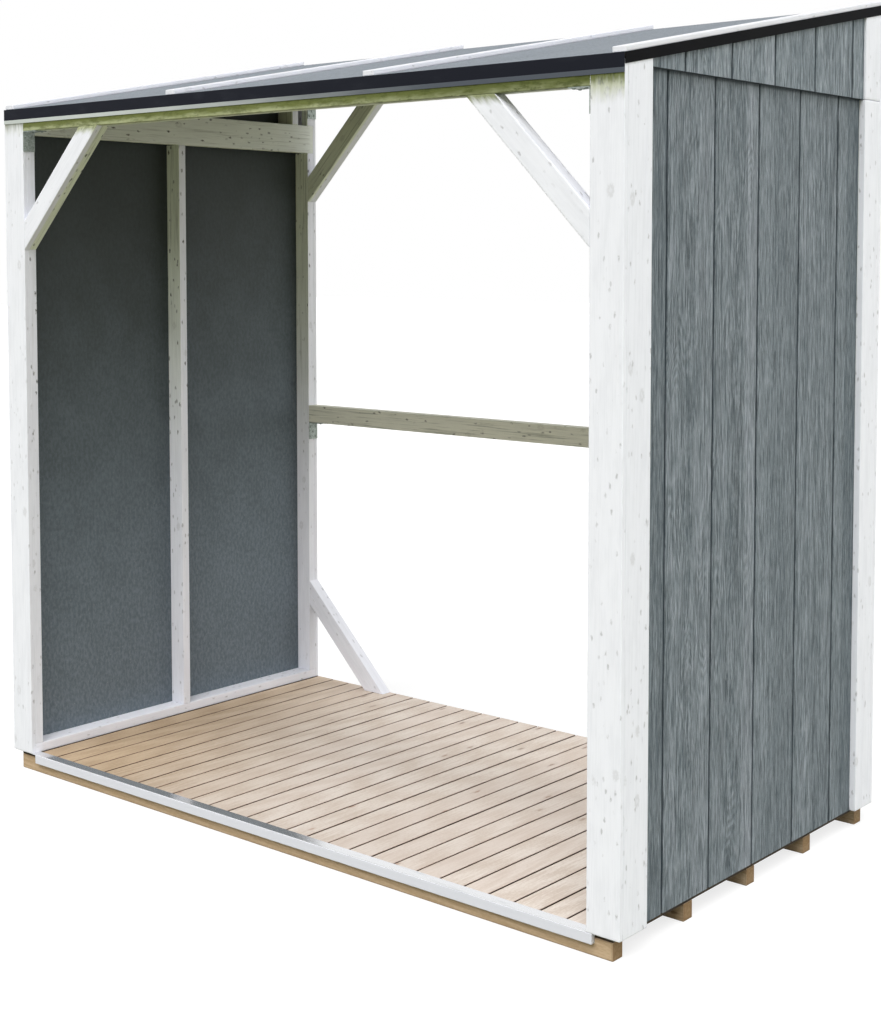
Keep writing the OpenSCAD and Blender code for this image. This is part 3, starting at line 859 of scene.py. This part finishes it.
def roof():
    # edgings as bars, verges and battens laid along the slope, and boarding cut into even boards across it
    for name in ("front_edging", "rear_edging", "eave_strip"):
        makePiece(name + "_metal", plainBar(name, axisX, **metalStock),
                  "eave" if name == "eave_strip" else "edging",
                  "white_wood" if name == "eave_strip" else "black_edging", name)
    low, high = boxOf("verge_edgings")
    stock = Stock()
    for x0, x1 in ((sideX, high[0]), (low[0], -sideX)):
        sideShape(stock, alongRoof(low, high), x0, x1, (0, 1, slope), **metalStock)
    makePiece("verge_metals", stock, "verge", "black_edging", "verge_edgings")
    low, high = boxOf("roof_battens")
    wide, last = battenCut["wide"], battenCut["count"] - 1
    stock = Stock()
    for i in range(battenCut["count"]):
        x0 = low[0] + i * (high[0] - low[0] - wide) / last
        sideShape(stock, alongRoof(low, high), x0, x0 + wide, (0, 1, slope), **whiteStock)
    makePiece("roof_laths", stock, "white", "white_wood", "roof_battens")
    low, high = boxOf("roof_boarding")
    thick = high[2] - low[2] - slope * (high[1] - low[1])
    edges = np.linspace(low[1], high[1], boardingCut["count"] + 1)
    lift = low[2] + slope * (edges - low[1])
    stock = Stock()
    for y0, y1, z0, z1 in zip(edges, edges[1:], lift, lift[1:]):
        corners = [(y0, z0), (y1, z1), (y1, z1 + thick), (y0, z0 + thick)]
        sideShape(stock, corners, low[0], high[0], axisX, **boardingStock)
    makePiece("roof_planks", stock, "boarding", "roof_board", "roof_boarding")
    nodes["roof_felt"].data.materials.clear()
    nodes["roof_felt"].data.materials.append(finishes["felt"])
    print("roof placed")


# rows: how far the screws stand from the corner, and how far to each side of the middle
bracketShape = {"leg": 0.060, "wide": 0.040, "thick": 0.0025, "bendR": 0.003,
                "rows": [(0.016, 0.0115), (0.033, 0.0), (0.050, 0.0115)],
                "head": [(0.0046, 0.0), (0.0045, 0.0009), (0.0036, 0.0021), (0.0016, 0.0025),
                         (0.0012, 0.0016)]}


def brackets():
    # an L in (x, z) with the corner at the origin: outer bend of radius r + t, inner bend of radius r
    give = bracketShape
    leg, wide, t, r = give["leg"], give["wide"], give["thick"], give["bendR"]
    a = np.linspace(0, math.pi / 2, 5)
    arc = np.column_stack([np.cos(a), np.sin(a)])
    outerBend, innerBend = (r + t) * (arc - 1), r * arc - (r + t)
    shape = np.concatenate([[(0, -leg)], outerBend, [(-leg, 0), (-leg, -t)], innerBend[::-1], [(-t, -leg)]])
    railLow, railHigh = boxOf("rear_rail")
    depth = railHigh[1] - railLow[1]
    places = [(frontY, boxOf("front_beam")[0][2]), (backY - depth, boxOf("rear_beam")[0][2]),
              (backY - depth, railLow[2])]
    stock, screws = Stock(), Stock()
    for y, z in places:
        y0 = y + (depth - wide) / 2
        for sign in (1, -1):
            outline = leftTurning(np.column_stack([shape[:, 1] + z, sign * (innerX + shape[:, 0])]))
            outlineSheet(stock, outline, axisZ, axisX, axisY * y0, np.full(len(outline), wide))
            for along, apart in give["rows"]:
                for dy in ((-apart, apart) if apart else (0.0,)):
                    yc = y + depth / 2 + dy
                    onStud = np.array([sign * (innerX - t), yc, z - along])
                    underBeam = np.array([sign * (innerX - along), yc, z - t])
                    turned(screws, give["head"], onStud, (-sign, 0, 0))
                    turned(screws, give["head"], underBeam, (0, 0, -1))
    makePiece("angle_brackets", stock, "zinc", "zinc_plate", "corner_brackets")
    makePiece("bracket_screws", screws, "zinc", "zinc_plate")
    print("brackets placed")


wallTimbers()
frameTimbers()
floor()
panels()
roof()
brackets()

# each lamp: azimuth, elevation and spread in degrees, strength
lights = {"skyHigh": (0.30, 0.30, 0.295), "skyLow": (0.135, 0.138, 0.128), "skyBack": (0.92, 0.93, 0.95),
          "backTurn": (-0.5, 0.3), "highTurn": (0.05, 0.60),
          "lamps": [(5.0, 55.0, 56.0, 3.30), (92.0, 58.0, 40.0, 0.70), (125.0, 15.0, 90.0, 1.25),
                    (40.0, 14.0, 70.0, 0.52)], "lampDistance": 8.0}
# under: how far out from the walls the ground starts to glow and glows fully; below zero is under the store
groundLook = {"half": 40, "drop": -0.0006, "bounce": (0.205, 0.213, 0.138), "shown": (0.30, 0.30, 0.30),
              "glow": (0.76, 0.76, 0.76), "under": (-0.15, -0.10)}


def shownRays(f):  # 1 for what the camera sees, directly, mirrored or through glass
    path = f.node("ShaderNodeLightPath", {}, {}).socket.node.outputs
    rays = ("Is Camera Ray", "Is Glossy Ray", "Is Transmission Ray")
    seen, glossy, through = (Wire(f, path[key]) for key in rays)
    return seen.most(glossy).most(through)


ground = bpy.data.meshes.new("ground")
half, drop = groundLook["half"], groundLook["drop"]
corners = rectangle((-half, -half), (half, half))
ground.from_pydata([(*corner, drop) for corner in corners], [], [(0, 1, 2, 3)])
groundPlane = bpy.data.objects.new("ground", ground)
bpy.context.scene.collection.objects.link(groundPlane)
g = Finish("ground_white")
shown = shownRays(g)
x, y = g.split(g.place())[:2]
clear = g.rise((abs(x) - sideX).most(abs(y) - backY), *groundLook["under"]) * shown
g.surface(Base_Color=g.blend(shown, groundLook["bounce"], groundLook["shown"]), Roughness=1.0,
          Specular_IOR_Level=0.0, Emission_Color=g.blend(clear, (0.0, 0.0, 0.0), groundLook["glow"]),
          Emission_Strength=1.0)
ground.materials.append(g.material)

world = bpy.data.worlds.new("soft_sky")
world.use_nodes = True
bpy.context.scene.world = world
w = Finish("soft_sky", world.node_tree)
back, up = w.split(w.node("ShaderNodeTexCoord", {}, {}, "Generated"))[1:]
horizon = w.blend(w.rise(back, *lights["backTurn"]), lights["skyLow"], lights["skyBack"])
sky = w.blend(w.rise(up, *lights["highTurn"]), horizon, lights["skyHigh"])
w.feed(world.node_tree.nodes["Background"].inputs["Color"], w.blend(shownRays(w), sky, (1.0, 1.0, 1.0)))

for number, (azimuth, elevation, spread, strength) in enumerate(lights["lamps"]):
    a, e = math.radians(azimuth), math.radians(elevation)
    towards = Vector((math.sin(a) * math.cos(e), -math.cos(a) * math.cos(e), math.sin(e)))
    lamp = bpy.data.lights.new("softbox_%d" % (number + 1), "SUN")
    lamp.angle, lamp.energy = math.radians(spread), strength
    holder = bpy.data.objects.new(lamp.name, lamp)
    holder.location = towards * lights["lampDistance"]
    holder.rotation_euler = towards.to_track_quat("Z", "Y").to_euler()
    bpy.context.scene.collection.objects.link(holder)

view = {"place": (3.1197, -3.5694, 1.5609), "yaw": 40.1754, "pitch": 3.4032, "lens": 58.3592, "sensor": 36.0,
        "shiftX": -0.00797, "shiftY": -0.155, "near": 0.05, "far": 200.0}
eye = bpy.data.cameras.new("camera")
eye.lens, eye.sensor_width = view["lens"], view["sensor"]
eye.shift_x, eye.shift_y = view["shiftX"], view["shiftY"]
eye.clip_start, eye.clip_end = view["near"], view["far"]
camera = bpy.data.objects.new("camera", eye)
camera.location = view["place"]
camera.rotation_euler = (math.radians(90 - view["pitch"]), 0.0, math.radians(view["yaw"]))
bpy.context.scene.collection.objects.link(camera)
bpy.context.scene.camera = camera
bpy.context.scene.view_settings.view_transform = "Standard"
print("stage set")
